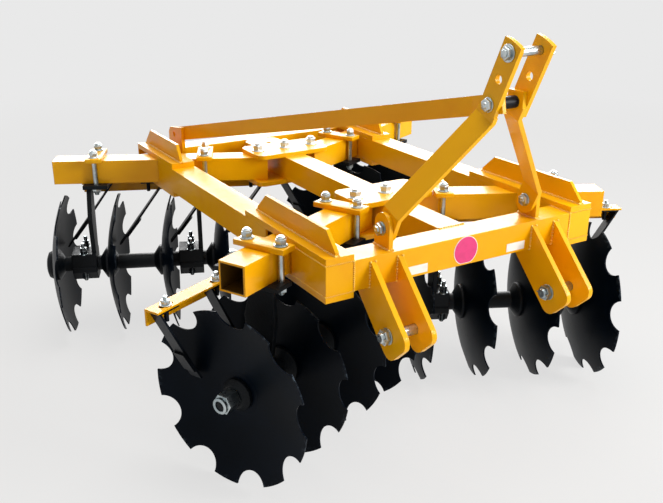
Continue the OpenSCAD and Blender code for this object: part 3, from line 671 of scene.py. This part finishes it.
fasteners, spacer = bmesh.new(), bmesh.new()
for side in (-1, 1):
    foot = MAST @ Matrix.Diagonal((side, 1, 1, 1))
    mast_bolt(fasteners, foot, LUG_X - MAST_T, LUG_X + MAST_T)
joint = MAST @ moved(z=along_mast(JOINT_Z))
mast_bolt(fasteners, joint, -EAR_X - MAST_T, EAR_X + MAST_T)
rod(spacer, across(joint), SPACER_R, -EAR_X + TIE_T, EAR_X - MAST_T - SEAT)
top_link_pin(fasteners, MAST @ moved(z=along_mast(TOP_PIN_Z)))
finished("mast_fasteners", fasteners, ZINC, replaces=["mast_bolts"])
finished("mast_spacer", spacer, PLATE, replaces=["mast_bolts"])

# ---- lower hitch pins -----------------------------------------------------------
PIN_R, COLLAR_R, COLLAR_T = 0.0125, 0.0195, 0.008
SPLIT_R, SPLIT_EYE_R = 0.0016, 0.0044


def hitch_pin(bm, at):
    """pin with a round collar on the right; washer, nut, thread and split pin on the left"""
    tip, shank, nut_out, nut_in = (-OUTER - z for z in (0.023, 0.004, 0.0165, 0.0034))
    seat, head = OUTER + SEAT, OUTER + SEAT + COLLAR_T
    turning(bm, at, [(0, tip), (PIN_R - 0.003, tip), (PIN_R - 0.001, tip + 0.002), (PIN_R - 0.001, shank),
                     (PIN_R, shank), (PIN_R, seat), (COLLAR_R, seat), (COLLAR_R, head - 0.0011),
                     (COLLAR_R - 0.0012, head), (0, head)], 40)
    thread(bm, at, PIN_R, shank, tip - 0.0005, 0.0025, 0.003)
    washer(bm, at, 0.0205, nut_in, -OUTER - HAIR)
    hexagon(bm, at, 0.034, nut_out, nut_in)
    split = at @ moved(z=nut_out - 0.003) @ turned(math.pi / 2, "X")
    rod(bm, split, SPLIT_R, -0.019, 0.017, 10)
    turning(bm, split @ moved(z=0.019), [(SPLIT_R, -0.0014), (SPLIT_EYE_R, -0.0014),
                                         (SPLIT_EYE_R, 0.0014), (SPLIT_R, 0.0014)], 14)


pins = bmesh.new()
for side in (-1, 1):
    hitch_pin(pins, across(moved(0, LINK_Y - MID_Y, LINK_Z), side * LINK_X))
finished("hitch_pin_set", pins, ZINC, replaces=["hitch_pins"])

# ---- bolts through the halves of the bearing housings ------------------------------
# to both sides of the shaft, and outward from the middle of a front and of a rear housing
HOUSING_V, HOUSING_OUT = 0.036, (0.021, 0.0)
HOUSING_BOLT_R, HOUSING_NUT = 0.0063, 0.0196


def housing_bolt(bm, at):
    """washer and two nuts on the housing, head in the cap below, origin at the shaft's height"""
    seat, lower_top, upper_top, tip = 0.0475, 0.0594, 0.0690, 0.0845
    washer(bm, at, 0.0130, seat - 0.0025, seat)
    hexagon(bm, at, HOUSING_NUT, seat, lower_top)
    hexagon(bm, at, HOUSING_NUT, lower_top + 0.0006, upper_top)
    thread(bm, at, HOUSING_BOLT_R, upper_top - 0.001, tip)
    hexagon(bm, at, HOUSING_NUT, -0.0404, -0.0158)
    thread(bm, at, HOUSING_BOLT_R, -0.0390, -0.0464)


for name, gang in GANGS.items():
    rear = gang[1]
    bolts = bmesh.new()
    for n in (0, 1):
        for v in (-HOUSING_V, HOUSING_V):
            u = bearing_u(gang, n) - HOUSING_OUT[rear]
            housing_bolt(bolts, row_place(gang) @ moved(u, ROW_V[rear] + v, SHAFT_Z))
    finished("bearing_bolts_" + name, bolts, ZINC)

# ---- nuts and studs that hold the scraper feet --------------------------------------
# on front and rear gangs: along the discs from the rim of its own, and behind the shaft
SCRAPER_BOLT = ((-0.068, 0.114), (-0.092, 0.121))
SCRAPER_BOLT_R, SCRAPER_NUT = 0.006, 0.0196


def scraper_nut(bm, at):
    """washer and nut on the angle iron, with the bolt's end over them"""
    seat, top, tip = 0.0028, 0.0135, 0.0225
    washer(bm, at, 0.0144, HAIR, seat)
    hexagon(bm, at, SCRAPER_NUT, seat, top)
    thread(bm, at, SCRAPER_BOLT_R, top - 0.0015, tip, dimple=0.002)


for name, gang in GANGS.items():
    nuts = bmesh.new()
    u, v = SCRAPER_BOLT[gang[1]]
    for i in range(DISCS):
        scraper_nut(nuts, rim_place(gang) @ moved(i * PITCH + u, v, BAR_TOP))
    finished("scraper_nuts_" + name, nuts, ZINC)

# ---- welds --------------------------------------------------------------------
# ribs on the corner plates: in from the frame's side, thickness, foot, front and rear ends
RIB_IN, RIB_T, RIB_Z = 0.028, 0.010, TUBE_TOP + CORNER_T
REAR_END = REAR_Y + TUBE + LIP_T
RIBS = ((0.006, 0.394), (REAR_END - 0.316, REAR_END - 0.010))
# mast lugs from front to rear, left side of the tie bar's lug, rear end of the stub tubes' beads
LUG_FRONT, LUG_REAR, TIE_LUG_X, STUB_END = 0.012, 0.072, -0.300, 0.158
# lower hitch plates' beads: up the front face from the tube's foot, and back under it
LINK_UP, LINK_BACK = 0.062, 0.072
# what a bead leaves free at the edge of a tube
STOP = 0.002

welds = bmesh.new()
for side in (-1, 1):
    outside, inside = side * (HALF - RIB_IN), side * (HALF - RIB_IN - RIB_T)
    for y0, y1 in RIBS:
        for x in (outside, inside):
            bead(welds, (x, y0, RIB_Z), (x, y1, RIB_Z))
        for y in (y0, y1):
            bead(welds, (outside, y, RIB_Z), (inside, y, RIB_Z))
finished("rib_welds", welds, WELD, smooth=80)

welds = bmesh.new()
for side in (-1, 1):
    # round the mast lugs
    near, far = side * LUG_X, side * (LUG_X + MAST_T)
    for x in (near, far):
        bead(welds, (x, LUG_FRONT, TUBE_TOP), (x, LUG_REAR, TUBE_TOP))
    for y in (LUG_FRONT, LUG_REAR):
        bead(welds, (near, y, TUBE_TOP), (far, y, TUBE_TOP))
    # lower hitch plates, on the front face and the underside of the front crossbeam
    for x in (LINK_X - OUTER, LINK_X - LINK_GAP / 2, LINK_X + LINK_GAP / 2, LINK_X + OUTER):
        bead(welds, (side * x, 0, TUBE_LOW + STOP), (side * x, 0, TUBE_LOW + LINK_UP))
        bead(welds, (side * x, STOP, TUBE_LOW), (side * x, LINK_BACK, TUBE_LOW))
    # sides of the centre beam, behind the front crossbeam
    bead(welds, (side * TUBE / 2, TUBE, TUBE_LOW), (side * TUBE / 2, TUBE, TUBE_TOP))
# lug of the tie bar, on the rear crossbeam
for x in (TIE_LUG_X, TIE_LUG_X + MAST_T):
    bead(welds, (x, REAR_Y + STOP, TUBE_TOP), (x, REAR_Y + TUBE - STOP, TUBE_TOP))
# top of the centre beam, behind the front crossbeam
bead(welds, (-TUBE / 2, TUBE, TUBE_TOP), (TUBE / 2, TUBE, TUBE_TOP), 0.0035)
# ends of the front crossbeam, against the stub tubes
for x in (-HALF + TUBE, HALF - TUBE):
    bead(welds, (x, 0, TUBE_LOW + STOP), (x, 0, TUBE_TOP - STOP), 0.0032, 0.005)
    bead(welds, (x, STOP, TUBE_TOP), (x, TUBE - STOP, TUBE_TOP), 0.0036, 0.006)
# corner plates, over and under the stub tubes
for side in (-1, 1):
    for z in (TUBE_LOW, TUBE_TOP):
        corner = (side * HALF, 0, z)
        bead(welds, corner, (side * (HALF - TUBE), 0, z), 0.0022, 0.004)
        bead(welds, corner, (side * HALF, STUB_END, z), 0.0022, 0.004)
finished("hitch_and_mast_welds", welds, WELD, smooth=80)

# ---- blank labels on the front crossbeam ------------------------------------------
LABEL_T = 0.0006
STRIP = [(-0.030, -0.011), (0.030, -0.011), (0.030, 0.011), (-0.030, 0.011)]
STRIP_Z, ROUND_X, ROUND_Z = 0.524, -0.012, 0.5445


def label(name, material, x, z, outline, proud=0.0):
    """flat label on the front face or proud of it, outline as (x, z) points round its middle"""
    bm = bmesh.new()
    face = bm.faces.new([bm.verts.new((x + u, -MID_Y - proud, z + w)) for u, w in outline])
    front = [g for g in bmesh.ops.extrude_face_region(bm, geom=[face])["geom"]
             if isinstance(g, bmesh.types.BMVert)]
    bmesh.ops.translate(bm, vec=(0, -LABEL_T, 0), verts=front)
    finished(name, bm, material)


def round_outline(r, cut):
    """circle cut straight at the foot, this far below its middle"""
    start = math.asin(cut / r)
    turn = math.pi + 2 * start
    angles = [-start + turn * i / 40 for i in range(41)]
    return [(r * math.cos(a), r * math.sin(a)) for a in angles]


CREAM = plain_label("cream_label", srgb(240, 238, 232), srgb(214, 212, 206))
ROSE = plain_label("rose_label", srgb(222, 44, 120), srgb(206, 36, 108))
label("plain_label_left", CREAM, -0.158, STRIP_Z, STRIP)
label("plain_label_right", CREAM, 0.152, STRIP_Z, STRIP)
label("round_label_edge", CREAM, ROUND_X, ROUND_Z, round_outline(0.0370, 0.0335))
label("round_label", ROSE, ROUND_X, ROUND_Z, round_outline(0.0352, 0.0322), LABEL_T / 2)

# ---- floor, studio and size ---------------------------------------------------
BACKDROP = srgb(233, 233, 233)
FLOOR_HALF, FLOOR_DROP = 60, 0.0005


def seen_share(shader):
    """1 for what the camera, a reflection or a view through glass sees, 0 for light on the object"""
    camera_ray, glossy_ray, glass_ray = (shader.node("ShaderNodeLightPath", {}, {}, ray) for ray in
                                         ("Is Camera Ray", "Is Glossy Ray", "Is Transmission Ray"))
    return camera_ray.larger(glossy_ray).larger(glass_ray)


def floor_finish():
    """pale matt floor that keeps the shadow, reads as the backdrop and blends into it far away"""
    material = bpy.data.materials.new("studio_floor")
    material.use_nodes = True
    f = Shader(material.node_tree)
    reach = f.node("ShaderNodeVectorMath", {"operation": "LENGTH"}, {0: f.place()}, 1)
    # metres from the middle, and the share of the glow there
    fade = f.node("ShaderNodeMapRange", {}, {"Value": reach, "From Min": 1.2, "From Max": 5.0,
                                             "To Min": 0.84, "To Max": 1.0})
    matt = f.node("ShaderNodeBsdfDiffuse", {}, {0: srgb(232, 232, 230)})
    glow = f.node("ShaderNodeEmission", {}, {0: BACKDROP})
    both = f.node("ShaderNodeMixShader", {}, {0: fade * seen_share(f), 1: matt, 2: glow})
    f.end("ShaderNodeOutputMaterial", both)
    return material


bm = bmesh.new()
bmesh.ops.create_grid(bm, x_segments=1, y_segments=1, size=FLOOR_HALF,
                      matrix=moved(z=cad_box[0][2] - FLOOR_DROP))
floor_mesh = bpy.data.meshes.new("floor")
bm.to_mesh(floor_mesh)
bm.free()
floor_mesh.materials.append(floor_finish())
floor = bpy.data.objects.new("floor", floor_mesh)
bpy.context.scene.collection.objects.link(floor)

world = bpy.data.worlds.new("studio")
bpy.context.scene.world = world
world.use_nodes = True
sky = Shader(world.node_tree)
soft = sky.node("ShaderNodeBackground", {}, {0: (1.0, 0.9, 0.8, 1), 1: 0.34})
plain = sky.node("ShaderNodeBackground", {}, {0: BACKDROP, 1: 1.0})
either = sky.node("ShaderNodeMixShader", {}, {0: seen_share(sky), 1: soft, 2: plain})
sky.end("ShaderNodeOutputWorld", either)


def softbox(name, at, target, size, power, sheen_only=False):
    """rectangular lamp that the camera doesn't see; sheen_only keeps its light out of matt shading"""
    lamp = bpy.data.lights.new(name, "AREA")
    lamp.shape, lamp.energy = "RECTANGLE", power
    lamp.size, lamp.size_y = size
    box = bpy.data.objects.new(name, lamp)
    box.location = at
    box.rotation_euler = (Vector(target) - Vector(at)).to_track_quat("-Z", "Y").to_euler()
    box.visible_camera = False
    box.visible_diffuse = not sheen_only
    bpy.context.scene.collection.objects.link(box)


softbox("key", (2.7, -3.1, 2.1), (0, 0, 0.4), (2.0, 2.0), 175)
softbox("top", (0.4, 0.2, 4.2), (0, 0, 0.4), (3.0, 3.0), 120)
softbox("back", (2.9, 5.0, 2.9), (0, 0, 0.5), (7.0, 3.6), 800, True)
